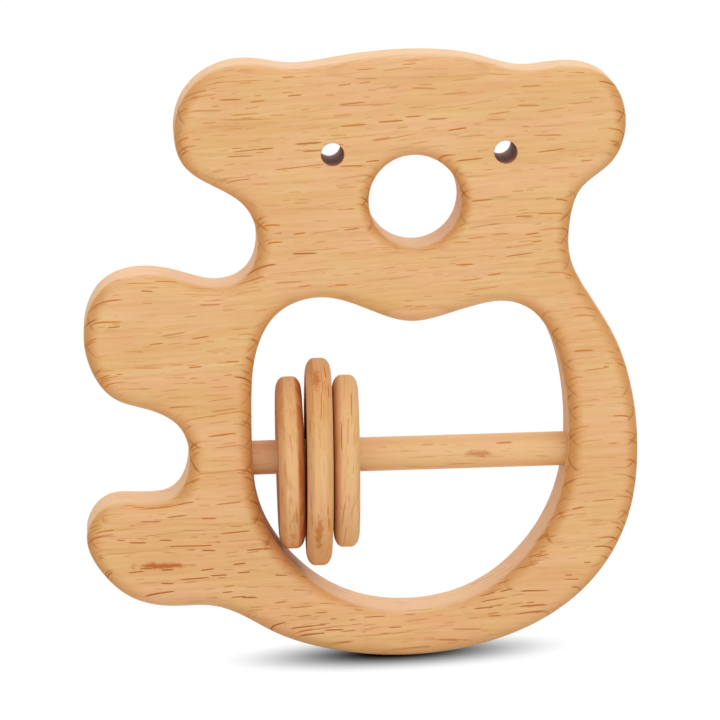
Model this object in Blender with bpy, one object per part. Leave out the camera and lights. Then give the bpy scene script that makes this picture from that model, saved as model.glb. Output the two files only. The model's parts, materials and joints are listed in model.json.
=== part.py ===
"""Wooden baby rattle: a koala sawn from one beech plate, with loose rings on a dowel.

It stands as it is looked at: +X to the right, +Z up, and the face looks along -Y. The origin lies
under the middle of the plate, level with its lowest edge. Every length is in metres.
"""
import math

import bmesh
import bpy
import numpy as np
from mathutils import Matrix

# Plate
PLATE_WIDTH = 0.0967
PLATE_HEIGHT = 0.1060
PLATE_THICKNESS = 0.016
EDGE_ROUND = 0.003

# Face: a drilled nose and two drilled eyes, placed from the crown and from the nose
NOSE_CENTRE_X = 0.0095
NOSE_BELOW_CROWN = 0.02545
NOSE_DIAMETER = 0.016
NOSE_ROUND = 0.0025
EYES_PAST_NOSE = 0.0007
EYES_ABOVE_NOSE = 0.0085
EYE_SPACING = 0.030
EYE_DIAMETER = 0.004
EYE_ROUND = 0.0003

# Dowel: drilled in from the notch between arm and foot, through the limb and across the belly
DOWEL_DIAMETER = 0.006
DOWEL_ABOVE_BOWL = 0.0270
DOWEL_SLOPE = math.radians(0.8)
DOWEL_SEAT_DEPTH = 0.008
DOWEL_GAP = 0.0002

# Rings, from left to right: how far each one's top leans left, and its back edge is swung right
RING_THICKNESS = 0.0045
RING_PLAY = 0.0025
RIM_ROUND_ALONG = 0.0016
RIM_ROUND_OUT = 0.0024
BORE_ROUND = 0.0004
SMALL_RING = 0.0303
LARGE_RING = 0.0365
RINGS = (
    ("ring_left", SMALL_RING, math.radians(0.8), math.radians(0.3)),
    ("ring_middle", LARGE_RING, math.radians(-0.3), math.radians(0.9)),
    ("ring_right", SMALL_RING, math.radians(0.0), math.radians(1.3)),
)
HANG_GAP = 0.0002
RING_GAP = 0.0002
WALL_GAP = 0.0003

# Outer outline, clockwise from the crown: (x, z) of the points that a smooth curve passes. It is drawn
# in millimetres, together with the belly opening, and then fitted to the plate's width and height.
CROWN = ((-12.4, 103.95), (-4, 104.8), (12.5, 106), (21, 104.9))
RIGHT_EAR = ((28.4, 103.1), (36.2, 103.7), (43.2, 101.6), (46.3, 94), (43.5, 86.55))
RIGHT_CHEEK = ((38.45, 82.25), (36.5, 76.5), (36.5, 70.5), (39.6, 64))
RIGHT_FLANK = ((44.3, 56.1), (47.5, 45.7), (48.3, 35.5), (46.6, 24))
SEAT = ((40.6, 13.25), (31.2, 5.8), (19.8, 1.55), (7, 0), (-5, 1.1))
HEEL = ((-16, 4.6), (-22, 7.9), (-26.5, 9.4), (-33, 9.5))
FOOT = ((-40, 10.8), (-45.9, 15.7), (-48.4, 22.6), (-45.2, 27.4), (-39, 28.1))
WAIST_NOTCH = ((-33.1, 29.15), (-30.4, 34.8), (-32, 41.3), (-37.5, 44.5))
ARM = ((-43.4, 46.6), (-47.5, 52.3), (-48.2, 60), (-45, 66.1), (-38.5, 68.4))
NECK_NOTCH = ((-30.5, 67.1), (-24.8, 66), (-20.1, 67.9), (-18, 73.5), (-20, 79.8))
LEFT_EAR = ((-26, 83.8), (-30.65, 87.25), (-32.25, 92.5), (-30.3, 99.6),
            (-25.2, 103.7), (-19.3, 104.85))
OUTLINE_POINTS = (CROWN + RIGHT_EAR + RIGHT_CHEEK + RIGHT_FLANK + SEAT + HEEL + FOOT + WAIST_NOTCH
                  + ARM + NECK_NOTCH + LEFT_EAR)

# Belly opening, clockwise from the chin
CHIN = ((8.8, 59.4), (14.7, 60.5), (20.5, 62.15))
RIGHT_LOBE = ((24.8, 62.7), (29.6, 61.1), (33.2, 56.3), (35.4, 48.5))
BOWL = ((36.1, 38), (34.2, 27.2), (28.4, 17.4), (19.6, 10.6), (8, 8),
        (-3.45, 10.2), (-12.4, 16.8), (-17.7, 25.4), (-19.2, 34.5))
LEFT_LOBE = ((-19.35, 45), (-18.3, 54.7), (-14.6, 61.1), (-6.9, 63.8), (0.9, 61.7))
BELLY_POINTS = CHIN + RIGHT_LOBE + BOWL + LEFT_LOBE

# Fineness of the faceted solids
LONGEST_STEP = 0.005
SHARPEST_TURN = math.radians(10.0)
FINE_STEPS = 40
EDGE_STEPS = 3
NOSE_SIDES = 40
EYE_SIDES = 16
DOWEL_SIDES = 24
DOWEL_END_RINGS = 3
RING_SIDES = 40
HALVINGS = 40

FULL_TURN = 2.0 * math.pi
RING_BORE = DOWEL_DIAMETER + RING_PLAY
NOSE_HEIGHT = PLATE_HEIGHT - NOSE_BELOW_CROWN


def clear_scene():
    for item in list(bpy.data.objects):
        bpy.data.objects.remove(item, do_unlink=True)


def wood(name, colour, roughness):
    """A plain wood finish in the piece's own shade."""
    finish = bpy.data.materials.new(name)
    finish.use_nodes = True
    shader = finish.node_tree.nodes["Principled BSDF"]
    shader.inputs["Base Color"].default_value = (*colour, 1.0)
    shader.inputs["Roughness"].default_value = roughness
    shader.inputs["Metallic"].default_value = 0.0
    return finish


def smooth_curve(points):
    """Many points along a closed curve through the given ones.

    Each stretch is a cubic, and the curve's direction and bend carry on across every given point.
    """
    knots = np.array(points)
    count = len(knots)
    ahead = np.roll(knots, -1, axis=0) - knots
    span = np.linalg.norm(ahead, axis=1)
    span_before = np.roll(span, 1)
    index = np.arange(count)
    links = np.zeros((count, count))
    links[index, index] = 2.0 * (span + span_before)
    links[index, index - 1] = span
    links[index, (index + 1) % count] = span_before
    slope = ahead / span[:, None]
    known = 3.0 * (span_before[:, None] * slope + span[:, None] * np.roll(slope, 1, axis=0))
    tangent = np.linalg.solve(links, known)
    t = np.linspace(0.0, 1.0, FINE_STEPS, endpoint=False)[None, :, None]
    start = knots[:, None, :]
    end = np.roll(knots, -1, axis=0)[:, None, :]
    leave = (tangent * span[:, None])[:, None, :]
    arrive = (np.roll(tangent, -1, axis=0) * span[:, None])[:, None, :]
    curve = (start * (2 * t**3 - 3 * t**2 + 1) + leave * (t**3 - 2 * t**2 + t)
             + end * (3 * t**2 - 2 * t**3) + arrive * (t**3 - t**2))
    return curve.reshape(-1, 2)


def fitted_curves():
    """The outer outline and the belly opening, at the plate's size and standing on the origin."""
    drawn = smooth_curve(OUTLINE_POINTS)
    low = drawn.min(axis=0)
    high = drawn.max(axis=0)
    scale = np.array((PLATE_WIDTH, PLATE_HEIGHT)) / (high - low)
    foot = np.array(((low[0] + high[0]) / 2, low[1]))
    return (drawn - foot) * scale, (smooth_curve(BELLY_POINTS) - foot) * scale


OUTLINE, BELLY = fitted_curves()


def inward(points):
    """The direction into a closed clockwise curve, at each of its points."""
    along = np.roll(points, -1, axis=0) - np.roll(points, 1, axis=0)
    along /= np.linalg.norm(along, axis=1)[:, None]
    return np.column_stack((along[:, 1], -along[:, 0]))


def spaced_loop(curve, wood_inside):
    """Points on a closed curve, closer where it bends, with the direction from each into the wood."""
    ahead = np.roll(curve, -1, axis=0) - curve
    length = np.linalg.norm(ahead, axis=1)
    heading = np.arctan2(ahead[:, 1], ahead[:, 0])
    turn = np.abs((np.roll(heading, -1) - heading + math.pi) % FULL_TURN - math.pi)
    weight = np.concatenate(([0.0], np.cumsum(length / LONGEST_STEP + turn / SHARPEST_TURN)))
    count = math.ceil(weight[-1])
    wanted = np.linspace(0.0, weight[-1], count, endpoint=False)
    closed = np.vstack((curve, curve[:1]))
    points = np.column_stack([np.interp(wanted, weight, closed[:, axis]) for axis in (0, 1)])
    return points, inward(points) if wood_inside else -inward(points)


def circle_loop(centre_x, centre_z, diameter, sides):
    """A drilled hole's outline, with the direction from each point into the wood."""
    angle = np.linspace(0.0, FULL_TURN, sides, endpoint=False)
    outward = np.column_stack((np.cos(angle), np.sin(angle)))
    return np.array((centre_x, centre_z)) + outward * diameter / 2, outward


def crossings(curve, height):
    """The x of every place where a closed curve passes a height, from left to right."""
    start = curve
    end = np.roll(curve, -1, axis=0)
    passes = (start[:, 1] <= height) != (end[:, 1] <= height)
    a, b = start[passes], end[passes]
    share = (height - a[:, 1]) / (b[:, 1] - a[:, 1])
    return np.sort(a[:, 0] + share * (b[:, 0] - a[:, 0]))


def edge_steps(edge_round, steps):
    """From the front face round to the back face: how far in from the wall, and how deep."""
    half = PLATE_THICKNESS / 2
    front = []
    for step in range(steps + 1):
        angle = math.pi / 2 * (1.0 - step / steps)
        front.append((edge_round * (1.0 - math.cos(angle)), edge_round * (1.0 - math.sin(angle)) - half))
    return front + [(inset, -depth) for inset, depth in reversed(front)]


def join_rings(bm, rings, closed=False):
    """Bands of faces between neighbouring rings of vertices."""
    pairs = list(zip(rings, rings[1:] + rings[:1])) if closed else list(zip(rings, rings[1:]))
    for first, second in pairs:
        count = len(first)
        for i in range(count):
            j = (i + 1) % count
            bm.faces.new((first[i], first[j], second[j], second[i]))


def finish_object(name, bm, finish, location=(0.0, 0.0, 0.0)):
    """Turn a bmesh into a smooth-shaded object with its faces pointing out."""
    bmesh.ops.recalc_face_normals(bm, faces=bm.faces)
    mesh = bpy.data.meshes.new(name)
    bm.to_mesh(mesh)
    bm.free()
    mesh.shade_smooth()
    mesh.set_sharp_from_angle(angle=math.radians(40.0))
    mesh.materials.append(finish)
    piece = bpy.data.objects.new(name, mesh)
    piece.location = location
    bpy.context.scene.collection.objects.link(piece)
    return piece


def axis_height(x):
    """Height of the dowel's axis at x."""
    return BELLY[:, 1].min() + DOWEL_ABOVE_BOWL + x * math.tan(DOWEL_SLOPE)


def axis_crossing(curve, order):
    """The x at which the dowel's axis passes a curve: its first crossing is 0 and its last is -1."""
    x = 0.0
    for _ in range(HALVINGS):
        x = crossings(curve, axis_height(x))[order]
    return x


def hole_end():
    """The x at which the dowel's blind hole ends in the right flank."""
    return axis_crossing(BELLY, -1) + DOWEL_SEAT_DEPTH


def dowel_angles():
    return [FULL_TURN * side / DOWEL_SIDES for side in range(DOWEL_SIDES)]


def dowel_point(x, radius, angle):
    """A point beside the dowel's axis at x, at a radius and an angle round it."""
    out = radius * math.sin(angle)
    return (x - out * math.sin(DOWEL_SLOPE), radius * math.cos(angle),
            axis_height(x) + out * math.cos(DOWEL_SLOPE))


def make_drill():
    """The hole that the dowel is glued into, as a cutter that comes in from the left."""
    radius = DOWEL_DIAMETER / 2 + DOWEL_GAP
    bm = bmesh.new()
    rings = []
    for x in (OUTLINE[:, 0].min() - DOWEL_DIAMETER, hole_end()):
        rings.append([bm.verts.new(dowel_point(x, radius, angle)) for angle in dowel_angles()])
    join_rings(bm, rings)
    for ring in rings:
        bm.faces.new(ring)
    drill = finish_object("dowel_drill", bm, wood("drill_guide", (0.3, 0.3, 0.3), 0.5))
    drill.display_type = "WIRE"
    drill.hide_render = True
    return drill


def make_plate(drill):
    """The koala: outer edge, belly opening, nose and eyes, each with its own rounded edge."""
    loops = [
        (*spaced_loop(OUTLINE, True), EDGE_ROUND, EDGE_STEPS),
        (*spaced_loop(BELLY, False), EDGE_ROUND, EDGE_STEPS),
        (*circle_loop(NOSE_CENTRE_X, NOSE_HEIGHT, NOSE_DIAMETER, NOSE_SIDES), NOSE_ROUND, EDGE_STEPS),
    ]
    eye_height = NOSE_HEIGHT + EYES_ABOVE_NOSE
    for side in (-1, 1):
        x = NOSE_CENTRE_X + EYES_PAST_NOSE + side * EYE_SPACING / 2
        loops.append((*circle_loop(x, eye_height, EYE_DIAMETER, EYE_SIDES), EYE_ROUND, 1))
    bm = bmesh.new()
    front_edges = []
    back_edges = []
    for points, into_wood, edge_round, steps in loops:
        rings = []
        for inset, depth in edge_steps(edge_round, steps):
            moved = points + into_wood * inset
            rings.append([bm.verts.new((x, depth, z)) for x, z in moved])
        join_rings(bm, rings)
        for ring, edges in ((rings[0], front_edges), (rings[-1], back_edges)):
            edges.extend(bm.edges.get((a, b)) for a, b in zip(ring, ring[1:] + ring[:1]))
    bmesh.ops.triangle_fill(bm, use_beauty=True, edges=front_edges, normal=(0.0, -1.0, 0.0))
    bmesh.ops.triangle_fill(bm, use_beauty=True, edges=back_edges, normal=(0.0, 1.0, 0.0))
    plate = finish_object("koala_plate", bm, wood("beech_plate", (0.79, 0.46, 0.22), 0.45))
    cut = plate.modifiers.new("dowel_hole", "BOOLEAN")
    cut.operation = "DIFFERENCE"
    cut.solver = "EXACT"
    cut.object = drill
    return plate


def flush_point(notch_height, radius, angle):
    """A point on the dowel's left end, which follows the wall of the notch that it comes out of."""
    rise = radius * math.sin(angle) / math.cos(DOWEL_SLOPE)
    x = crossings(OUTLINE, notch_height + rise)[0]
    return x, radius * math.cos(angle), axis_height(x) + rise


def make_dowel():
    """The dowel: sanded flush with the notch at its left end, square at its blind right end."""
    radius = DOWEL_DIAMETER / 2
    right_end = hole_end() - DOWEL_GAP
    notch_height = axis_height(axis_crossing(OUTLINE, 0))
    bm = bmesh.new()
    rings = [[bm.verts.new(dowel_point(right_end, radius, angle)) for angle in dowel_angles()]]
    for step in range(DOWEL_END_RINGS):
        inner_radius = radius * (DOWEL_END_RINGS - step) / DOWEL_END_RINGS
        rings.append([bm.verts.new(flush_point(notch_height, inner_radius, angle))
                      for angle in dowel_angles()])
    join_rings(bm, rings)
    bm.faces.new(rings[0])
    tip = bm.verts.new(flush_point(notch_height, 0.0, 0.0))
    inner = rings[-1]
    for first, second in zip(inner, inner[1:] + inner[:1]):
        bm.faces.new((first, second, tip))
    return finish_object("dowel", bm, wood("beech_dowel", (0.82, 0.50, 0.24), 0.45))


def ring_profile(diameter):
    """A ring's cross-section above its axis, as (place along the axis, radius)."""
    corners = (
        (diameter / 2 - RIM_ROUND_OUT, RIM_ROUND_ALONG, RIM_ROUND_OUT, math.pi / 2, EDGE_STEPS),
        (RING_BORE / 2 + BORE_ROUND, BORE_ROUND, BORE_ROUND, 0.0, 1),
    )
    right = []
    for centre_radius, round_along, round_out, first_angle, steps in corners:
        for step in range(steps + 1):
            angle = first_angle - math.pi / 2 * step / steps
            along = RING_THICKNESS / 2 - round_along * (1.0 - math.cos(angle))
            right.append((along, centre_radius + round_out * math.sin(angle)))
    return right + [(-along, radius) for along, radius in reversed(right)]


def ring_centre(x):
    """A ring's centre at x: it hangs from the dowel by the top of its bore."""
    return x, axis_height(x) - (RING_BORE - DOWEL_DIAMETER) / 2 + HANG_GAP


def wall_clearance(x, diameter, lean):
    """The least gap between a ring at x and the wall of the belly opening: below 0 inside the wood."""
    along, radius = np.array(ring_profile(diameter)).T
    along = np.concatenate((along, along))
    up = np.concatenate((radius, -radius))
    corners = np.array(ring_centre(x)) + np.column_stack((
        along * math.cos(lean) - up * math.sin(lean), along * math.sin(lean) + up * math.cos(lean)))
    offset = corners - BELLY[:, None]
    nearest = np.argmin(np.linalg.norm(offset, axis=2), axis=0)
    off_wall = np.sum(offset * inward(BELLY)[:, None], axis=2)
    return np.min(off_wall[nearest, np.arange(len(corners))])


def last_place(wall_x, diameter, lean):
    """The furthest x towards a wall at which a ring still keeps its gap to the opening."""
    free = (BELLY[:, 0].min() + BELLY[:, 0].max()) / 2
    blocked = wall_x
    for _ in range(HALVINGS):
        middle = (free + blocked) / 2
        if wall_clearance(middle, diameter, lean) > WALL_GAP:
            free = middle
        else:
            blocked = middle
    return free


def ring_places():
    """Rest places: side by side, as far to the left as the wall of the opening allows."""
    steps = [0.0]
    for (_, left_size, *left_tilt), (_, right_size, *right_tilt) in zip(RINGS, RINGS[1:]):
        flat_radius = min(left_size, right_size) / 2 - RIM_ROUND_OUT
        spread = flat_radius * math.sin(math.dist(left_tilt, right_tilt))
        steps.append(steps[-1] + RING_THICKNESS + RING_GAP + spread)
    left_wall = BELLY[:, 0].min()
    first = max(last_place(left_wall, diameter, lean) - step
                for (_, diameter, lean, _), step in zip(RINGS, steps))
    return [first + step for step in steps]


def ring_travel(places):
    """How far each ring may slide past its left neighbour, so that all three stay off the wall."""
    right_wall = BELLY[:, 0].max()
    shares = [(last_place(right_wall, diameter, lean) - place) / order
              for order, ((_, diameter, lean, _), place) in enumerate(zip(RINGS, places), start=1)]
    return min(shares) / math.cos(DOWEL_SLOPE)


def make_ring(name, diameter, lean, swing, x):
    """One turned ring, with its origin at its centre and its bore along the dowel."""
    bm = bmesh.new()
    profile = ring_profile(diameter)
    rings = []
    for side in range(RING_SIDES):
        angle = FULL_TURN * side / RING_SIDES
        rings.append([bm.verts.new((along, radius * math.cos(angle), radius * math.sin(angle)))
                      for along, radius in profile])
    join_rings(bm, rings, closed=True)
    centre_x, centre_z = ring_centre(x)
    tilt = Matrix.Rotation(-swing, 4, "Z") @ Matrix.Rotation(-lean, 4, "Y")
    ring = finish_object(name, bm, wood("beech_" + name, (0.72, 0.38, 0.17), 0.40))
    ring.matrix_world = Matrix.Translation((centre_x, 0.0, centre_z)) @ tilt
    return ring


def main():
    clear_scene()
    make_plate(make_drill())
    make_dowel()
    places = ring_places()
    for (name, diameter, lean, swing), x in zip(RINGS, places):
        make_ring(name, diameter, lean, swing, x)
    print("travel of each ring past its left neighbour, in metres:", round(ring_travel(places), 5))


main()
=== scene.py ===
"""Wooden baby rattle: the finished pieces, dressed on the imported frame.

A koala sawn from one beech board, with a dowel across its belly and three loose rings on it.
+X is to the right of the viewer, +Z is up, and the face looks along -Y. Lengths are in metres.
"""

import json
import math
from collections import namedtuple

import bmesh
import bpy
import numpy as np
from bpy.props import FloatProperty, FloatVectorProperty, PointerProperty
from bpy.types import NodeSocket, Operator, Panel, PropertyGroup
from mathutils import Euler, Matrix, Vector
from mathutils.geometry import tessellate_polygon


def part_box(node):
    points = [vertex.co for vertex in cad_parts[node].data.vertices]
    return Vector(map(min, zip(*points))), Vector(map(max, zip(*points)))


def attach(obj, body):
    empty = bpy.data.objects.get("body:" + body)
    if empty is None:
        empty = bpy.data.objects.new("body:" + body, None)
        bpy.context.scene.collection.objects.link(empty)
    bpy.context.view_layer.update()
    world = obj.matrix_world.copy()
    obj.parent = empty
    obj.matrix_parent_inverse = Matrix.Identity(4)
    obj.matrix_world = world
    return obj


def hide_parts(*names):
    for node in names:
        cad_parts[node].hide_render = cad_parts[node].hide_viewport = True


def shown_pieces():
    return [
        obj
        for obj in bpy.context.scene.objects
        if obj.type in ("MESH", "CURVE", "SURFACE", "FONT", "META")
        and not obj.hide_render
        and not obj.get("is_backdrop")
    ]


bl_info = {
    "name": "Wooden Baby Rattle",
    "version": (1, 0, 0),
    "blender": (4, 5, 0),
    "location": "3D View > Sidebar > Rattle",
    "description": "Koala rattle of oiled beech, with rings on a dowel",
    "category": "Add Mesh",
}

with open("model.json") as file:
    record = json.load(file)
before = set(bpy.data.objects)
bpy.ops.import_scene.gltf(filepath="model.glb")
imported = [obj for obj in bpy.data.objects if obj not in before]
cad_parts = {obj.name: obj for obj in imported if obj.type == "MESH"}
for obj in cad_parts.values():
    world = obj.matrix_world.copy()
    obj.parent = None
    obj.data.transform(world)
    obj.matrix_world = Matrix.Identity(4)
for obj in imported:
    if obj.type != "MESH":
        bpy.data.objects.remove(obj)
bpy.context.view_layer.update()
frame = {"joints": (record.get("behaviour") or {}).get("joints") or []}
PLATE_LOW, PLATE_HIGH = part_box("koala_plate")
DOWEL_LOW, DOWEL_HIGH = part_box("dowel")
DOWEL_AXIS = Vector(frame["joints"][0]["axis"]).normalized()
DOWEL_MIDDLE = (DOWEL_LOW + DOWEL_HIGH) / 2
FULL_TURN = 2.0 * math.pi
MILLIMETRE = 0.001
BACK = (0.0, 1.0, 0.0)
UP = (0.0, 0.0, 1.0)
WHITE = (1.0, 1.0, 1.0)

# Fineness of the surfaces
CURVE_STEPS = 40
LOOP_STEP = 0.0006
LOOP_TURN = math.radians(2.5)
ROUND_STEPS = 12
FLAT_EDGE = 0.0003
HOLE_SIDES = 144
EYE_SIDES = 64
DOWEL_SIDES = 96
DOWEL_ROWS = 8
END_ROWS = 6
RING_SIDES = 180
SHARP_EDGE = math.radians(50.0)

# Outer outline, clockwise from the crown: (x, z) of the points that a smooth curve passes, drawn in
# millimetres together with the belly opening
CROWN = ((-12.4, 103.95), (-4, 104.8), (12.5, 106), (21, 104.9))
RIGHT_EAR = ((28.4, 103.1), (36.2, 103.7), (43.2, 101.6), (46.3, 94), (43.5, 86.55))
RIGHT_CHEEK = ((38.45, 82.25), (36.5, 76.5), (36.5, 70.5), (39.6, 64))
RIGHT_FLANK = ((44.3, 56.1), (47.5, 45.7), (48.3, 35.5), (46.6, 24))
SEAT = ((40.6, 13.25), (31.2, 5.8), (19.8, 1.55), (7, 0), (-5, 1.1))
HEEL = ((-16, 4.6), (-22, 7.9), (-26.5, 9.4), (-33, 9.5))
FOOT = ((-40, 10.8), (-45.9, 15.7), (-48.4, 22.6), (-45.2, 27.4), (-39, 28.1))
WAIST_NOTCH = ((-33.1, 29.15), (-30.4, 34.8), (-32, 41.3), (-37.5, 44.5))
ARM = ((-43.4, 46.6), (-47.5, 52.3), (-48.2, 60), (-45, 66.1), (-38.5, 68.4))
NECK_NOTCH = ((-30.5, 67.1), (-24.8, 66), (-20.1, 67.9), (-18, 73.5), (-20, 79.8))
LEFT_EAR = ((-26, 83.8), (-30.65, 87.25), (-32.25, 92.5), (-30.3, 99.6),
            (-25.2, 103.7), (-19.3, 104.85))
OUTLINE_POINTS = (CROWN + RIGHT_EAR + RIGHT_CHEEK + RIGHT_FLANK + SEAT + HEEL + FOOT + WAIST_NOTCH
                  + ARM + NECK_NOTCH + LEFT_EAR)

# Belly opening, clockwise from the chin
CHIN = ((8.8, 59.4), (14.7, 60.5), (20.5, 62.15))
RIGHT_LOBE = ((24.8, 62.7), (29.6, 61.1), (33.2, 56.3), (35.4, 48.5))
BOWL = ((36.1, 38), (34.2, 27.2), (28.4, 17.4), (19.6, 10.6), (8, 8),
        (-3.45, 10.2), (-12.4, 16.8), (-17.7, 25.4), (-19.2, 34.5))
LEFT_LOBE = ((-19.35, 45), (-18.3, 54.7), (-14.6, 61.1), (-6.9, 63.8), (0.9, 61.7))
BELLY_POINTS = CHIN + RIGHT_LOBE + BOWL + LEFT_LOBE

# Rings: how far each one's top leans left and its back edge is swung right, its size, how its grain is
# turned, where its middle falls in the wood's pattern, how much paler it is than the plate, and how much
# painted shade and bounce light, in orange, its left and right corners take. Angles are in degrees. The
# rims have more sheen than the flat sides, and those take the painted shade as much one way as the other
Ring = namedtuple("Ring", "name lean swing size turn seed paler corners")
RINGS = (
    Ring("ring_left", 0.8, 0.3, "small", (0.0, 96.0, 0.0), (9.0, 2.0, 5.0), 0.60, (0.50, 1.0)),
    Ring("ring_middle", -0.3, 0.9, "large", (0.0, 92.0, 0.0), (31.0, 12.0, 45.0), 0.45, (0.34, 0.12)),
    Ring("ring_right", 0.0, 1.3, "small", (0.0, 86.0, 0.0), (63.0, 22.0, 15.0), 0.95, (0.14, 0.0)),
)
RING_FINISH = dict(flecks=0.8, lines=0.3, growth=0.4)
RIM_SHEEN = 0.6
SIDE_SHEEN = 0.1
# Painted shade and bounce light, in orange, all over the rings' flat sides
SIDE_CORNER_SHADE = (0.6, 0.6)

# Grain and finish of the plate and of the dowel
PLATE_GRAIN = dict(centre=(0.0, 0.0, 0.05), turn=(38.0, 3.5, 0.0), seed=(3.0, 6.3, 11.0))
PLATE_FINISH = dict(growth=1.4, richer=0.9)
DOWEL_GRAIN = dict(centre=tuple(DOWEL_MIDDLE), turn=(-20.0, 0.8, 0.0), seed=(40.0, 31.0, 7.0))
DOWEL_FINISH = dict(flecks=0.55, wander=0.3, lines=0.1, growth=0.15, paler=0.80)

# Single marks, each with its reach and the share of the wood's colour that it takes: one on the foot, at
# an x and a z, one on the dowel, at an x, and two on the large ring's rim, a little left of its middle and
# at angles above the horizon. The distance over the reach, with noise added to rag the edge, fades a mark
Mark = namedtuple("Mark", "place reach share")
FOOT_MARK = Mark((-0.0358, 0.0172), (0.0072, 0.002, 0.0010), 0.95)
DOWEL_MARK = Mark(0.0203, (0.0042, 0.002, 0.0011), 0.60)
RIM_MARKS = (Mark(62.0, (0.0011, 0.006, 0.0036), 0.62), Mark(-33.0, (0.0012, 0.006, 0.0074), 0.62))
RIM_MARK_ASIDE = 0.0006
MARK_RAG_SIZE = (1.6, 0.7, 0.7)
MARK_FADE = (1.30, 0.70)

# Patterns of soft noise in the wood: their size in millimetres with the fibres, along the radius and
# across the rays, and the noise that counts as none and as all of the pattern
Pattern = namedtuple("Pattern", "size none full detail roughness", defaults=(2.0, 0.5))
FIBRES = Pattern((24.0, 1.1, 0.70), 0.28, 0.72, 3.0, 0.6)
CLOUDS = Pattern((30.0, 14.0, 6.0), 0.3, 0.7)
WARMTH = Pattern((10.0, 7.0, 5.0), 0.35, 0.65)
LATE_PATCHES = Pattern((9.0, 9.0, 5.0), 0.35, 0.65)
SHEET_PATCHES = Pattern((5.0, 4.0, 1.5), 0.42, 0.60)
RAY_CHAINS = Pattern((38.0, 20.0, 1.3), 0.40, 0.60, 1.0)
CORNER_SHADE_PATCHES = Pattern((7.0, 2.4, 2.4), 0.30, 0.65)
BLOTCHES = Pattern((5.5, 2.0, 1.6), 0.52, 0.70)
GLOSS = Pattern((4.0, 1.6, 1.2), 0.3, 0.7, 3.0)

# How far growth rings and rays swing from a plain plane, and the size of those swings, in millimetres
BEND = 3.2
BEND_SIZE = (55.0, 40.0, 24.0)
SWAY = 2.2
SWAY_SIZE = (34.0, 60.0, 11.0)

# Sheets of rays: how far apart they are in millimetres, the share of that over which their lines are
# scattered, and the distances from a line's middle at which it has faded out and is full
SHEET_SPACING = 2.3
SHEET_SCATTER = 0.6
SHEET_FADE = (0.22, 0.06)

# Changes with the way a face looks: the share where a change starts, the share where it ends, and the
# values there, which are none and one where they aren't given
END_GRAIN = (0.05, 0.75)
FLAT_ON_RAYS = (0.80, 0.97, 1.0, 0.15)
ON_WALLS = (0.60, 0.15)
LINES_ON_EDGES = (0.990, 0.80, 0.14, 0.95)
LINES_ON_TOPS = (0.14, 0.55, 1.0, 0.16)
LINES_ON_WALLS = (0.6, 1.0, 1.0, 0.30)
# Painted top light: walls that look up are made paler, as if lit from above
PAINTED_TOP_LIGHT_UPWARD = (-0.5, 0.5, 0.0, 0.65)
WALL_END_GRAIN = (0.3, 1.0, 1.0, 0.35)
WALL_RAYS = (0.5, 1.0, 1.0, 0.45)
END_GRAIN_RAYS = (0.0, 0.5, 1.0, 1.25)

# Painted shade and bounce light, in orange, on a ring's corners: the share of a look to the side where it
# starts and where it is full, and the least of it in patches there; and the most orange in a blotch
CORNER_START = 0.12
CORNER_FULL = 0.60
LEAST_CORNER_SHADE = 0.55
STRONGEST_BLOTCH = 0.35

# Where the late wood's line starts and ends, as shares of a growth ring, and how strong it is at least in
# a whole growth ring and in patches of one
LATE_START = (0.80, 0.955)
LATE_END = (1.0, 0.975)
LEAST_LATE_RING = 0.4
LEAST_LATE_PATCH = 0.25

# Tone of the wood from deep at none to pale at one: the middle and half range of its slow clouds, the half
# range of its fibres, the two tints that it drifts between, and the share of the end grain's colour there
CLOUD_TONE = 0.50
CLOUD_RANGE = 0.20
FIBRE_RANGE = 0.32
PINK_TINT = (1.02, 0.965, 0.99)
YELLOW_TINT = (0.99, 1.02, 0.94)
END_GRAIN_SHARE = 0.85

# Rays, from many faint ones to a few strong ones: their spacing and their reach from their own middle, both
# in millimetres with the fibres, along the radius and across, the least share of that length, the luck
# below which none shows, their strength and their colour
RayOrder = namedtuple("RayOrder", "spacing reach shortest least strength colour")
RAYS = (
    RayOrder((3.8, 14.0, 0.95), (1.5, 16.0, 0.11), 0.45, 0.20, 0.60, "fleck"),
    RayOrder((6.6, 18.0, 1.50), (3.0, 22.0, 0.13), 0.40, 0.00, 1.20, "fleck"),
    RayOrder((15.0, 24.0, 2.60), (7.0, 30.0, 0.11), 0.60, 0.30, 0.65, "fleck"),
    RayOrder((14.0, 22.0, 5.50), (3.4, 26.0, 0.17), 0.55, 0.45, 1.30, "strong"),
)

# All rays: how far each order is shifted from the last in millimetres, the shares of its reach between which
# a ray fades, its depth in the relief, the range of its slopes against the fibres and the share of them
# that slant down, and how strong the rays are at least where few are sown
RAY_SHIFT = (17.0, 28.9, 39.1)
RAY_FADE = (1.0, 0.55)
RAY_DEPTH = 0.6
RAY_SLANT = 0.13
RAY_BIAS = 0.4
LEAST_CHAIN = 0.35

# Heights in metres between which the plate's lowest part turns richer in rays
RICHER_BELOW = (0.034, 0.016)

# Gloss of the wood: refraction, relief, and how much rougher walls, end grain and a duller finish are
WOOD_IOR = 1.45
RELIEF_STRENGTH = 0.35
RELIEF_DEPTH = 0.00006
ROUGHER_WALLS = 0.16
ROUGHER_END_GRAIN = 0.34
ROUGHER_DULL = 0.35
UNEVEN_ROUGHNESS = 0.05

# Drilled holes: pattern, in metres, roughness, reflection, and how much lighter they are in places
BORE_PATCHES = Pattern((0.0012, 0.0005, 0.0012), 0.3, 0.7, 3.0)
BORE_ROUGHNESS = 0.7
BORE_SPECULAR = 0.25
BORE_LIGHTER = 1.25

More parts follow.
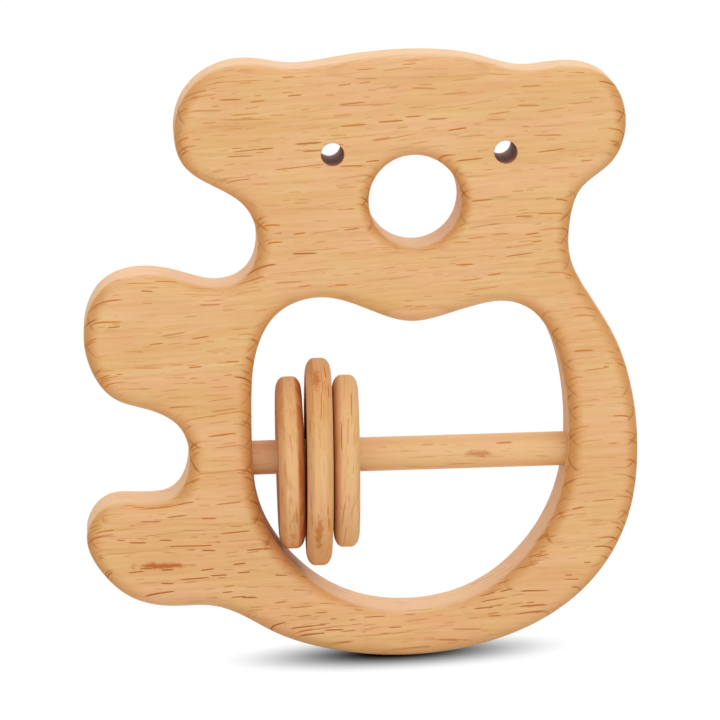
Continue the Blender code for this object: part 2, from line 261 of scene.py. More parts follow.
# Broad suns: angle from the front towards the right, height above the horizon and spread in degrees, and
# whether one lights everything or only the rattle
Sun = namedtuple("Sun", "name azimuth elevation spread everything")
SUNS = (
    Sun("top", 165.0, 62.0, 40.0, True),
    Sun("key", 25.0, 40.0, 55.0, False),
    Sun("low", 5.0, -28.0, 80.0, False),
    Sun("fill", -50.0, 10.0, 110.0, False),
    Sun("back", 178.0, 10.0, 70.0, False),
)

# Stage, with the share of the painted shadow's ellipse that has no white, and the camera's sensor in
# millimetres
FLOOR_HALF_SIDE = 4.0
FLOOR_ROUGHNESS = 0.9
SHADOW_CORE = 0.15
SENSOR_WIDTH = 36.0
NEAREST_SEEN = 0.01
FURTHEST_SEEN = 20.0


def smooth_curve(points):
    """Many points along a closed curve through the given ones.

    Between neighbours the curve is a cubic in the share of the way, and the tangents at the given
    points solve the linear system that keeps direction and bend unbroken across each of them.
    """
    knots = np.array(points, float)
    count = len(knots)
    ahead = np.roll(knots, -1, axis=0) - knots
    span = np.linalg.norm(ahead, axis=1)
    before = np.roll(span, 1)
    index = np.arange(count)
    links = np.zeros((count, count))
    links[index, index] = 2.0 * (span + before)
    links[index, index - 1] = span
    links[index, (index + 1) % count] = before
    slope = ahead / span[:, None]
    known = 3.0 * (before[:, None] * slope + span[:, None] * np.roll(slope, 1, axis=0))
    tangent = np.linalg.solve(links, known)
    t = np.linspace(0.0, 1.0, CURVE_STEPS, endpoint=False)[None, :, None]
    start = knots[:, None, :]
    end = np.roll(knots, -1, axis=0)[:, None, :]
    leave = (tangent * span[:, None])[:, None, :]
    arrive = (np.roll(tangent, -1, axis=0) * span[:, None])[:, None, :]
    curve = (start * (2 * t**3 - 3 * t**2 + 1) + leave * (t**3 - 2 * t**2 + t)
             + end * (3 * t**2 - 2 * t**3) + arrive * (t**3 - t**2))
    return curve.reshape(-1, 2)


def fitted_curves():
    """The outer outline and the belly opening, stretched from the drawing to the plate's own box."""
    drawn = smooth_curve(OUTLINE_POINTS)
    low = drawn.min(axis=0)
    size = drawn.max(axis=0) - low
    box_low = np.array((PLATE_LOW.x, PLATE_LOW.z))
    box_size = np.array((PLATE_HIGH.x, PLATE_HIGH.z)) - box_low
    return [(curve - low) / size * box_size + box_low for curve in (drawn, smooth_curve(BELLY_POINTS))]


OUTLINE, BELLY = fitted_curves()


def spaced_loop(curve, wood_inside):
    """Points on a closed curve and the unit direction from each into the wood.

    They are spaced evenly in length over LOOP_STEP plus turning over LOOP_TURN. The direction is the
    chord between both neighbours, turned a quarter.
    """
    ahead = np.roll(curve, -1, axis=0) - curve
    length = np.linalg.norm(ahead, axis=1)
    heading = np.arctan2(ahead[:, 1], ahead[:, 0])
    turn = np.abs((np.roll(heading, -1) - heading + math.pi) % FULL_TURN - math.pi)
    weight = np.concatenate(([0.0], np.cumsum(length / LOOP_STEP + turn / LOOP_TURN)))
    wanted = np.linspace(0.0, weight[-1], math.ceil(weight[-1]), endpoint=False)
    closed = np.vstack((curve, curve[:1]))
    points = np.column_stack([np.interp(wanted, weight, closed[:, axis]) for axis in (0, 1)])
    along = np.roll(points, -1, axis=0) - np.roll(points, 1, axis=0)
    along /= np.linalg.norm(along, axis=1)[:, None]
    inward = np.column_stack((along[:, 1], -along[:, 0]))
    return points, inward if wood_inside else -inward


def around(sides):
    """Angles spaced evenly round a full turn."""
    return np.linspace(0.0, FULL_TURN, sides, endpoint=False)


def circle_loop(x, z, diameter, sides):
    """A drilled hole: its centre plus its radius times the direction at each angle, and that direction."""
    angle = around(sides)
    outward = np.column_stack((np.cos(angle), np.sin(angle)))
    return np.array((x, z)) + outward * diameter / 2, outward


def edge_profile(radius, half, steps):
    """Rows (distance in from the wall, depth) from the front face over a quarter round to the back.

    The quarter round is radius times one minus the cosine inwards, and one minus the sine in depth.
    A narrow flat row beside each end of it keeps the flat faces flat in their shading.
    """
    angle = np.linspace(math.pi / 2, 0.0, steps + 1)
    inset = radius * (1.0 - np.cos(angle))
    depth = radius * (1.0 - np.sin(angle)) - half
    inset = np.concatenate(([radius + FLAT_EDGE], inset, [0.0]))
    depth = np.concatenate(([-half], depth, [depth[-1] + FLAT_EDGE]))
    return np.concatenate((inset, inset[::-1])), np.concatenate((depth, -depth[::-1]))


def swept_edge(points, into_wood, inset, depth):
    """A grid of rows by points: each point moved into the wood by the row's inset, at its depth."""
    moved = points[None, :, :] + into_wood[None, :, :] * inset[:, None, None]
    y = np.broadcast_to(depth[:, None], moved.shape[:2])
    return np.stack((moved[:, :, 0], y, moved[:, :, 1]), axis=-1)


def band_faces(rows, columns, first=0, closed_rows=False):
    """The quads of a grid that closes along its columns, and along its rows too where that is asked."""
    row = np.arange(rows if closed_rows else rows - 1)[:, None]
    column = np.arange(columns)[None, :]
    below = (row + 1) % rows
    beside = (column + 1) % columns
    quads = np.stack(np.broadcast_arrays(row * columns + column, row * columns + beside,
                                         below * columns + beside, below * columns + column), axis=-1)
    return (quads.reshape(-1, 4) + first).tolist()


def fan_faces(columns, first, tip):
    """The triangles from a closed row of vertices, the first of which is given, to the one at its tip."""
    column = np.arange(columns)
    beside = (column + 1) % columns
    return np.stack((column + first, beside + first, np.full(columns, tip)), axis=-1).tolist()


def solid(name, vertices, faces, material):
    """A closed mesh piece at the origin, smooth-shaded, its faces turned outwards."""
    mesh = bpy.data.meshes.new(name)
    mesh.from_pydata(vertices.reshape(-1, 3).tolist(), [], faces)
    mesh.validate()
    bm = bmesh.new()
    bm.from_mesh(mesh)
    bmesh.ops.recalc_face_normals(bm, faces=bm.faces)
    bm.to_mesh(mesh)
    bm.free()
    mesh.shade_smooth()
    mesh.set_sharp_from_angle(angle=SHARP_EDGE)
    mesh.materials.append(material)
    piece = bpy.data.objects.new(name, mesh)
    bpy.context.scene.collection.objects.link(piece)
    return piece


def axis_point(x):
    """The point of the dowel's axis at x."""
    return DOWEL_MIDDLE + DOWEL_AXIS * ((x - DOWEL_MIDDLE.x) / DOWEL_AXIS.x)


def round_the_axis(x, radius, angle):
    """Points at x along the dowel's axis, a radius away from it at an angle: plain cylinder coordinates."""
    slope = math.atan2(DOWEL_AXIS.z, DOWEL_AXIS.x)
    out = radius * np.sin(angle)
    height = axis_point(0.0).z + x * math.tan(slope)
    return np.stack(np.broadcast_arrays(x - out * math.sin(slope), radius * np.cos(angle),
                                        height + out * math.cos(slope)), axis=-1)


def dowel_drill(diameter, left, right):
    """A cylinder from left to right along the dowel's axis, closed by a point at each end's centre."""
    ends = np.array((left, right))
    rows = round_the_axis(ends[:, None], diameter / 2, around(DOWEL_SIDES)[None, :])
    poles = round_the_axis(ends, 0.0, 0.0)
    pole = 2 * DOWEL_SIDES
    faces = band_faces(2, DOWEL_SIDES)
    faces += fan_faces(DOWEL_SIDES, 0, pole) + fan_faces(DOWEL_SIDES, DOWEL_SIDES, pole + 1)
    return np.concatenate((rows.reshape(-1, 3), poles)), faces


def cut(piece, cutter):
    """Takes the cutter out of the piece with an exact Boolean, and removes the cutter."""
    modifier = piece.modifiers.new("bore", "BOOLEAN")
    modifier.operation = "DIFFERENCE"
    modifier.solver = "EXACT"
    modifier.object = cutter
    bpy.context.view_layer.update()
    evaluated = piece.evaluated_get(bpy.context.evaluated_depsgraph_get())
    mesh = bpy.data.meshes.new_from_object(evaluated)
    piece.modifiers.remove(modifier)
    piece.data = mesh
    mesh.shade_smooth()
    mesh.set_sharp_from_angle(angle=SHARP_EDGE)
    bpy.data.objects.remove(cutter, do_unlink=True)


class Tree:
    """A node tree, with a short call for each kind of node that the finishes use."""

    def __init__(self, node_tree):
        self.nodes = node_tree.nodes
        self.links = node_tree.links

    def put(self, socket, value):
        """Links another node's output to a socket, or sets the socket to a plain value."""
        if isinstance(value, NodeSocket):
            self.links.new(value, socket)
        else:
            socket.default_value = value

    def math(self, operation, *values, clamp=False):
        node = self.nodes.new("ShaderNodeMath")
        node.operation = operation
        node.use_clamp = clamp
        for socket, value in zip(node.inputs, values):
            self.put(socket, value)
        return node.outputs[0]

    def product(self, first, *others):
        """The numbers multiplied together."""
        for other in others:
            first = self.math("MULTIPLY", first, other)
        return first

    def vector(self, operation, *values):
        node = self.nodes.new("ShaderNodeVectorMath")
        node.operation = operation
        for socket, value in zip(node.inputs, values):
            self.put(socket, value)
        return node.outputs["Value" if operation in ("LENGTH", "DOT_PRODUCT") else "Vector"]

    def split(self, vector):
        node = self.nodes.new("ShaderNodeSeparateXYZ")
        self.put(node.inputs[0], vector)
        return node.outputs

    def join(self, *values):
        node = self.nodes.new("ShaderNodeCombineXYZ")
        for socket, value in zip(node.inputs, values):
            self.put(socket, value)
        return node.outputs[0]

    def chance(self, number, seed=0.0):
        """A random share for each whole part of a number."""
        node = self.nodes.new("ShaderNodeTexWhiteNoise")
        node.noise_dimensions = "1D"
        self.put(node.inputs["W"], self.math("ADD", self.math("FLOOR", number), seed))
        return node.outputs["Value"]

    def noise(self, point, size, detail=2.0, roughness=0.5):
        """Soft noise in patches of about a size."""
        node = self.nodes.new("ShaderNodeTexNoise")
        self.put(node.inputs["Vector"], self.vector("DIVIDE", point, size))
        node.inputs["Scale"].default_value = 1.0
        node.inputs["Detail"].default_value = detail
        node.inputs["Roughness"].default_value = roughness
        return node.outputs["Fac"]

    def ease(self, value, low, high, to_low=0.0, to_high=1.0):
        """Turns low..high smoothly into to_low..to_high, and holds both ends."""
        node = self.nodes.new("ShaderNodeMapRange")
        node.interpolation_type = "SMOOTHSTEP"
        for socket, number in zip(node.inputs, (value, low, high, to_low, to_high)):
            self.put(socket, number)
        return node.outputs[0]

    def patches(self, point, pattern, least=0.0, most=1.0):
        """A pattern at a point, from least to most."""
        noise = self.noise(point, pattern.size, pattern.detail, pattern.roughness)
        return self.ease(noise, pattern.none, pattern.full, least, most)

    def blend(self, share, first, second, kind="MIX"):
        """Two colours mixed by a share, or blended in another way by that share."""
        node = self.nodes.new("ShaderNodeMix")
        node.data_type = "RGBA"
        node.blend_type = kind
        self.put(node.inputs["Factor"], share)
        self.put(node.inputs["A"], first)
        self.put(node.inputs["B"], second)
        return node.outputs["Result"]


def rgba(colour):
    """A colour with full cover."""
    return (*colour, 1.0)


def new_finish(name):
    """A new material, its node tree and its shader."""
    material = bpy.data.materials.new(name)
    material.use_nodes = True
    tree = Tree(material.node_tree)
    return material, tree, tree.nodes["Principled BSDF"]


class Grain:
    """Where a point lies in the wood, in millimetres, and how its face cuts through it.

    The point is the object's own, taken from the centre and turned so that its first axis runs with the
    fibres, its second along the radius and its third across the rays. Growth rings and rays swing a
    little. On a sawn piece, walls show less of the end grain than a turned ring does.
    """

    def __init__(self, tree, centre, turn, seed, wander, turned):
        rotation = Euler([math.radians(angle) for angle in turn])
        to_grain = rotation.to_matrix()
        ways = to_grain.inverted()
        coordinates = tree.nodes.new("ShaderNodeTexCoord")
        mapping = tree.nodes.new("ShaderNodeMapping")
        mapping.inputs["Location"].default_value = Vector(seed) - to_grain @ (Vector(centre) / MILLIMETRE)
        mapping.inputs["Rotation"].default_value = rotation
        mapping.inputs["Scale"].default_value = (1.0 / MILLIMETRE,) * 3
        self.tree = tree
        self.turned = turned
        self.place = coordinates.outputs["Object"]
        self.normal = coordinates.outputs["Normal"]
        tree.put(mapping.inputs["Vector"], self.place)
        plain = mapping.outputs["Vector"]
        bend = self.swing(plain, BEND_SIZE, BEND)
        sway = self.swing(plain, SWAY_SIZE, SWAY * wander)
        self.point = tree.vector("ADD", plain, tree.join(0.0, bend, sway))
        _, self.deep, self.across = tree.split(self.point)
        self.on_walls = tree.ease(self.looks_along(BACK), *ON_WALLS)
        self.flat_on_rays = tree.ease(self.looks_along(ways.col[2]), *FLAT_ON_RAYS)
        self.end_grain = tree.ease(self.looks_along(ways.col[0]), *END_GRAIN)
        if not turned:
            self.end_grain = tree.product(self.end_grain, tree.ease(self.on_walls, *WALL_END_GRAIN))

    def swing(self, point, size, reach):
        """A slow swing to both sides, by up to half the reach."""
        tree = self.tree
        return tree.product(tree.math("SUBTRACT", tree.noise(point, size, 1.0), 0.5), reach)

    def looks_along(self, way):
        """How far a face looks along a direction, either way: from none to one."""
        return self.tree.math("ABSOLUTE", self.tree.vector("DOT_PRODUCT", self.normal, tuple(way)))

    def patches(self, pattern, least=0.0, most=1.0):
        """A pattern in the wood, from least to most."""
        return self.tree.patches(self.point, pattern, least, most)


def early_wood(grain, look, fibre, paler):
    """Colour between the growth lines.

    It goes from deep to pale by the sum of fibres, slow clouds and painted top light, a paler bloom on
    walls that look up, drifts between two tints, and darkens on end grain.
    """
    tree = grain.tree
    upward = tree.vector("DOT_PRODUCT", grain.normal, UP)
    # Painted top light: walls that look up turn paler
    painted_top_light = tree.product(grain.on_walls, tree.ease(upward, *PAINTED_TOP_LIGHT_UPWARD))
    middle = CLOUD_TONE + paler
    tone = tree.math("ADD", tree.ease(fibre, FIBRES.none, FIBRES.full, -FIBRE_RANGE, FIBRE_RANGE),
                     grain.patches(CLOUDS, middle - CLOUD_RANGE, middle + CLOUD_RANGE))
    colour = tree.blend(tree.math("ADD", tone, painted_top_light), rgba(look.deep_colour), rgba(look.pale_colour))
    tint = tree.blend(grain.patches(WARMTH), rgba(PINK_TINT), rgba(YELLOW_TINT))
    colour = tree.blend(1.0, colour, tint, "MULTIPLY")
    return tree.blend(tree.product(grain.end_grain, END_GRAIN_SHARE - paler), colour, rgba(look.end_colour))


def ring_corner_shade_and_blotches(grain, look, colour, corners):
    """Painted shade and bounce light, in orange, on faces that look left or right, by the share for each way,
    and orange tone in a few blotches.
    """
    tree = grain.tree
    orange = rgba(look.corner_shade_colour)
    facing = tree.vector("DOT_PRODUCT", grain.normal, tuple(DOWEL_AXIS))
    painted_corner_shade = tree.math("MAXIMUM", tree.ease(facing, -CORNER_START, -CORNER_FULL, 0.0, corners[0]),
                     tree.ease(facing, CORNER_START, CORNER_FULL, 0.0, corners[1]))
    colour = tree.blend(tree.product(painted_corner_shade, grain.patches(CORNER_SHADE_PATCHES, LEAST_CORNER_SHADE)), colour, orange)
    blotches = grain.patches(BLOTCHES, 0.0, STRONGEST_BLOTCH * max(corners))
    return tree.blend(blotches, colour, orange)


def single_mark(grain, look, colour, mark):
    """A red-brown mark: the distance from its place over its reach, with noise added to rag its edge."""
    tree = grain.tree
    away = tree.vector("DIVIDE", tree.vector("SUBTRACT", grain.place, mark.place), mark.reach)
    ragged = tree.math("ADD", tree.vector("LENGTH", away), tree.noise(grain.point, MARK_RAG_SIZE))
    return tree.blend(tree.ease(ragged, *MARK_FADE, 0.0, mark.share), colour, rgba(look.mark_colour))


def growth_lines(grain, width, strength):
    """The late line at each growth ring's end, stronger in some rings than in others, and in patches."""
    tree = grain.tree
    ring = tree.math("DIVIDE", grain.deep, width / MILLIMETRE)
    share = tree.math("FRACT", ring)
    return tree.product(tree.ease(share, *LATE_START), tree.ease(share, *LATE_END),
                        grain.patches(LATE_PATCHES, LEAST_LATE_PATCH),
                        tree.ease(tree.chance(ring), 0.0, 1.0, LEAST_LATE_RING * strength, strength))


def ray_sheets(grain, seed, strength):
    """Thin lines where sheets of rays cross the growth rings on rounded edges and end grain.

    There is one line in each spacing across the rays, at its own share of that spacing.
    """
    tree = grain.tree
    cells = tree.math("DIVIDE", grain.across, SHEET_SPACING)
    middle = tree.math("MULTIPLY_ADD", tree.chance(cells, seed), SHEET_SCATTER, (1.0 - SHEET_SCATTER) / 2)
    away = tree.math("ABSOLUTE", tree.math("SUBTRACT", tree.math("FRACT", cells), middle))
    line = tree.ease(tree.product(away, SHEET_SPACING), *SHEET_FADE)
    return tree.product(line, grain.patches(SHEET_PATCHES), strength)


def ray_flecks(tree, point, order):
    """Thin dashes, long with the grain and deep along the radius, and each one's luck.

    Each lies round a scattered centre, as far as the fourth power of the way along it and the squares
    of the other two ways add up to less than one, so it is nearly as thick at its ends as in its
    middle. Its length, slant and luck differ from ray to ray.
    """
    cells = tree.vector("DIVIDE", point, order.spacing)
    node = tree.nodes.new("ShaderNodeTexVoronoi")
    tree.put(node.inputs["Vector"], cells)
    node.inputs["Scale"].default_value = 1.0
    away = tree.vector("MULTIPLY", tree.vector("SUBTRACT", cells, node.outputs["Position"]),
                       tuple(spacing / reach for spacing, reach in zip(order.spacing, order.reach)))
    chance = tree.split(node.outputs["Color"])
    along, deep, across = tree.split(away)
    length = tree.ease(chance[0], 0.0, 1.0, order.shortest, 1.0)
    slant = tree.product(tree.math("SUBTRACT", chance[2], RAY_BIAS),
                         RAY_SLANT * order.reach[0] / order.reach[2])
    across = tree.math("MULTIPLY_ADD", along, slant, across)
    way = tree.math("DIVIDE", along, length)
    shape = tree.vector("LENGTH", tree.join(tree.product(way, way), deep, across))
    return tree.ease(shape, *RAY_FADE), chance[1]


def rays(grain, look, colour, height, strength, richer):
    """The colour and the relief with all orders of rays laid over them.

    They are weak on a face that lies flat on the rays, strong on end grain, thicker sown on some lines
    than on others, and stronger and redder low down on a richer piece.
    """
    tree = grain.tree
    colours = {"fleck": rgba(look.fleck_colour), "strong": rgba(look.strong_colour)}
    stronger = tree.product(tree.ease(grain.end_grain, *END_GRAIN_RAYS), grain.flat_on_rays,
                            grain.patches(RAY_CHAINS, LEAST_CHAIN))
    if not grain.turned:
        stronger = tree.product(stronger, tree.ease(grain.on_walls, *WALL_RAYS))
    if richer:
        low_down = tree.ease(tree.split(grain.place)[2], *RICHER_BELOW)
        stronger = tree.product(stronger, tree.math("MULTIPLY_ADD", low_down, richer, 1.0))
        colours["fleck"] = tree.blend(low_down, colours["fleck"], colours["strong"])
    for number, order in enumerate(RAYS, 1):
        spot = tree.vector("ADD", grain.point, tuple(number * shift for shift in RAY_SHIFT))
        shape, luck = ray_flecks(tree, spot, order)
        amount = tree.product(shape, tree.ease(luck, order.least, 1.0, 0.0, order.strength * strength))
        amount = tree.math("MULTIPLY", amount, stronger, clamp=True)
        colour = tree.blend(amount, colour, colours[order.colour])
        height = tree.math("SUBTRACT", height, tree.product(amount, RAY_DEPTH))
    return colour, height


def satin(grain, look, shader, sheen):
    """Oiled gloss, uneven in patches, duller on walls and end grain and where the sheen is less."""
    tree = grain.tree
    rough = look.roughness + ROUGHER_DULL * (1.0 - sheen)
    uneven = grain.patches(GLOSS, rough - UNEVEN_ROUGHNESS, rough + UNEVEN_ROUGHNESS)
    rougher = tree.math("MAXIMUM", tree.product(grain.on_walls, ROUGHER_WALLS),
                        tree.product(grain.end_grain, ROUGHER_END_GRAIN))
    tree.put(shader.inputs["Roughness"], tree.math("MULTIPLY_ADD", rougher, sheen, uneven, clamp=True))
    shader.inputs["IOR"].default_value = WOOD_IOR
    shader.inputs["Specular IOR Level"].default_value = look.specular * sheen


def beech(name, look, centre, turn, seed, flecks=1.0, wander=1.0, lines=1.0, growth=1.0, paler=0.0,
          sheen=1.0, corners=None, marks=(), richer=0.0):
    """Oiled beech as a solid pattern, so that every face shows the cut that it makes through the wood.

    Centre, turn and seed place the piece in the wood. Flecks, lines and growth are the strengths of the
    rays, of their lines on rounded edges and of the growth lines. Wander is how far the rays swing,
    paler adds pale wood, and less sheen is duller. The corners of a turned ring take painted shade and
    bounce light, in orange, by a share for its left and one for its right. Richer adds rays to the plate's
    lowest part.
    """
    material, tree, shader = new_finish(name)
    grain = Grain(tree, centre, turn, seed, wander, turned=corners is not None)
    lined = tree.product(tree.ease(grain.looks_along(BACK), *LINES_ON_EDGES),
                         tree.ease(grain.looks_along(UP), *LINES_ON_TOPS),
                         tree.ease(grain.on_walls, *LINES_ON_WALLS))
    fibre = tree.noise(grain.point, FIBRES.size, FIBRES.detail, FIBRES.roughness)
    colour = early_wood(grain, look, fibre, paler)
    # Painted shade and bounce light on a turned ring's corners
    if corners:
        colour = ring_corner_shade_and_blotches(grain, look, colour, corners)
    for mark in marks:
        colour = single_mark(grain, look, colour, mark)
    for dark in (growth_lines(grain, look.growth_width, growth), ray_sheets(grain, seed[0], lines)):
        colour = tree.blend(tree.product(dark, lined), colour, rgba(look.late_colour))
    colour, height = rays(grain, look, colour, fibre, flecks, richer)
    tree.put(shader.inputs["Base Color"], colour)
    satin(grain, look, shader, sheen)
    relief = tree.nodes.new("ShaderNodeBump")
    relief.inputs["Strength"].default_value = RELIEF_STRENGTH
    relief.inputs["Distance"].default_value = RELIEF_DEPTH
    tree.put(relief.inputs["Height"], height)
    tree.put(shader.inputs["Normal"], relief.outputs["Normal"])
    return material


def drilled_wood(name, look):
    """The wall of a drilled hole: darker than the face, and a little uneven along its depth."""
    material, tree, shader = new_finish(name)
    coordinates = tree.nodes.new("ShaderNodeTexCoord")
    light = tree.patches(coordinates.outputs["Object"], BORE_PATCHES)
    lighter = tuple(BORE_LIGHTER * channel for channel in look.bore_colour)
    tree.put(shader.inputs["Base Color"], tree.blend(light, rgba(look.bore_colour), rgba(lighter)))
    shader.inputs["Roughness"].default_value = BORE_ROUGHNESS
    shader.inputs["Specular IOR Level"].default_value = BORE_SPECULAR
    return material


def colour_setting(name, description, default):
    """A colour that a user may change."""
    return FloatVectorProperty(name=name, description=description, default=default, subtype="COLOR", size=3,
                               min=0.0, max=1.0)


def length_setting(name, description, default, **limits):
    """A length in metres that a user may change."""
    return FloatProperty(name=name, description=description, default=default, subtype="DISTANCE",
                         unit="LENGTH", **limits)


def angle_setting(name, description, degrees):
    """An angle that a user may change, given in degrees."""
    return FloatProperty(name=name, description=description, default=math.radians(degrees),
                         subtype="ANGLE", unit="ROTATION")


def share_setting(name, description, default):
    """A share from none to one that a user may change."""
    return FloatProperty(name=name, description=description, default=default, subtype="FACTOR", min=0.0,
                         max=1.0)


def strength_setting(name, description, default, most=10.0):
    """The strength of a light that a user may change."""
    return FloatProperty(name=name, description=description, default=default, min=0.0, max=most)


class WoodLook(PropertyGroup):
    """Colours, growth and sheen of the oiled beech."""

    pale_colour: colour_setting("Pale wood", "Lightest tone of the early wood", (0.82, 0.505, 0.245))
    deep_colour: colour_setting("Deep wood", "Deepest tone of the early wood", (0.75, 0.405, 0.155))
    late_colour: colour_setting("Late wood", "Thin line at the end of each growth ring", (0.46, 0.165, 0.035))
    end_colour: colour_setting("End grain", "Wood cut across the fibres, which takes more oil",
                               (0.68, 0.315, 0.095))
    fleck_colour: colour_setting("Ray flecks", "Short brown dashes of the rays", (0.57, 0.18, 0.008))
    strong_colour: colour_setting("Strong flecks", "The few flecks that are red-orange", (0.46, 0.13, 0.015))
    mark_colour: colour_setting("Marks", "Red-brown of the few single marks", (0.49, 0.105, 0.0))
    # Painted shade and bounce light, in orange, on the rings' corners and flat sides
    corner_shade_colour: colour_setting("Ring corners",
                                  "Orange of the oil that gathers on the rings' corners and sides",
                                  (0.54, 0.145, 0.032))
    # Darker colour of the eyes' drilled walls
    bore_colour: colour_setting("Drilled holes", "Wall of the eyes, scorched by the drill",
                                (0.50, 0.25, 0.16))
    growth_width: length_setting("Growth ring", "Width of one year's growth", 0.0027, min=0.0005, max=0.01)
    roughness: share_setting("Roughness", "Sheen of the oiled surface, from gloss at 0 to matt at 1", 0.42)
    specular: share_setting("Sheen", "Strength of the oiled surface's reflection", 0.46)


class PlateSettings(PropertyGroup):
    """Sizes of the koala plate that the frame's box doesn't give."""

    edge_round: length_setting("Edge round", "Radius of the rounded edges", 0.003, min=0.0005, max=0.007)
    nose_diameter: length_setting("Nose", "Diameter of the drilled nose", 0.016, min=0.004, max=0.025)
    nose_round: length_setting("Nose edge", "Radius of the nose's rounded edge",
                               0.0025, min=0.0002, max=0.006)
    nose_x: length_setting("Nose across", "Place of the nose to the right of the middle", 0.0095)
    nose_below_crown: length_setting("Nose below crown", "Depth of the nose's centre under the plate's top",
                                     0.02545)
    eye_diameter: length_setting("Eyes", "Diameter of the drilled eyes", 0.004, min=0.001, max=0.01)
    eye_round: length_setting("Eye edge", "Radius of the eyes' broken edge", 0.00012, min=0.0001, max=0.002)
    eye_spacing: length_setting("Eye spacing", "Distance between the eyes' centres", 0.030)
    eyes_above_nose: length_setting("Eyes above nose", "Height of the eyes over the nose's centre", 0.0085)
    eyes_past_nose: length_setting("Eyes past nose", "Shift of the eyes to the right of the nose's centre",
                                   0.0007)


class DowelSettings(PropertyGroup):
    """Sizes of the dowel and of the hole that it is glued into."""

    diameter: length_setting("Diameter", "Diameter of the dowel", 0.006, min=0.002, max=0.012)
    glue_line: length_setting("Glue line", "Thickness of the glue between the dowel and its hole",
                              0.00003, min=0.00001, max=0.0005)


class RingSettings(PropertyGroup):
    """Sizes of the turned rings."""

    small: length_setting("Small rings", "Diameter of the two outer rings", 0.0303, min=0.015, max=0.05)
    large: length_setting("Large ring", "Diameter of the middle ring", 0.0365, min=0.015, max=0.05)
    thickness: length_setting("Thickness", "Thickness of each ring along its bore",
                              0.0045, min=0.002, max=0.01)
    bore: length_setting("Bore", "Diameter of the hole through each ring", 0.0085, min=0.006, max=0.02)
    rim_along: length_setting("Rim edge, along", "Reach of the rounded outer edges along the bore",
                              0.0016, min=0.0002, max=0.0022)
    rim_out: length_setting("Rim edge, out", "Reach of the rounded outer edges along the radius",
                            0.0024, min=0.0002, max=0.005)
    bore_round: length_setting("Bore edge", "Radius of the rounded edges of the bore",
                               0.0004, min=0.0001, max=0.002)


class StageSettings(PropertyGroup):
    """Camera, lamps and floor."""

    distance: length_setting("Camera distance", "Distance from the camera to the middle of the picture", 0.9)
    elevation: angle_setting("Camera height", "Angle of the camera above the horizon", 9.1)
    yaw: angle_setting("Camera swing", "Angle of the camera to the left of the face", 2.7)
    roll: angle_setting("Camera roll", "Clockwise turn of the camera about its line of sight", 0.5)
    aim: length_setting("Aim height", "Height of the point that the camera looks at", 0.0518)
    lens: FloatProperty(name="Lens", description="Focal length in millimetres on a 36 mm sensor",
                        default=256.5, min=20.0, max=600.0)
    sky: strength_setting("Surrounding light", "Strength of the even light from all round", 0.62, most=2.0)
    top: strength_setting("Top light", "Strength of the broad light from above and behind", 0.35)
    key: strength_setting("Key light", "Strength of the broad light from high at the front right", 0.80)
    low: strength_setting("Low light", "Strength of the broad light from low in front", 1.35)
    fill: strength_setting("Fill light", "Strength of the very broad light from the front left", 0.45)
    back: strength_setting("Back light", "Strength of the broad light from behind", 0.80)
    # Ellipse of the painted shadow on the floor
    shadow_x: length_setting("Shadow across", "Middle of the shadow's ellipse, to the right", 0.0060)
    shadow_y: length_setting("Shadow back", "Middle of the shadow's ellipse, towards the back", -0.0036)
    shadow_width: length_setting("Shadow width",
                                 "Width of the ellipse outside which the floor is plain white",
                                 0.0667)
    shadow_depth: length_setting("Shadow depth",
                                 "Depth of the ellipse outside which the floor is plain white",
                                 0.031)
    shadow_slant: angle_setting("Shadow slant", "Turn of the ellipse, its right end towards the back", 11.0)
    floor_colour: colour_setting("Floor", "Colour of the plain floor", (0.80, 0.80, 0.80))
    # Painted shadow: the dark colour that the camera sees of the floor inside the ellipse
    painted_shadow_colour: colour_setting("Floor in shadow",
                                  "What the camera sees of the floor inside the shadow's ellipse",
                                  (0.014, 0.015, 0.017))


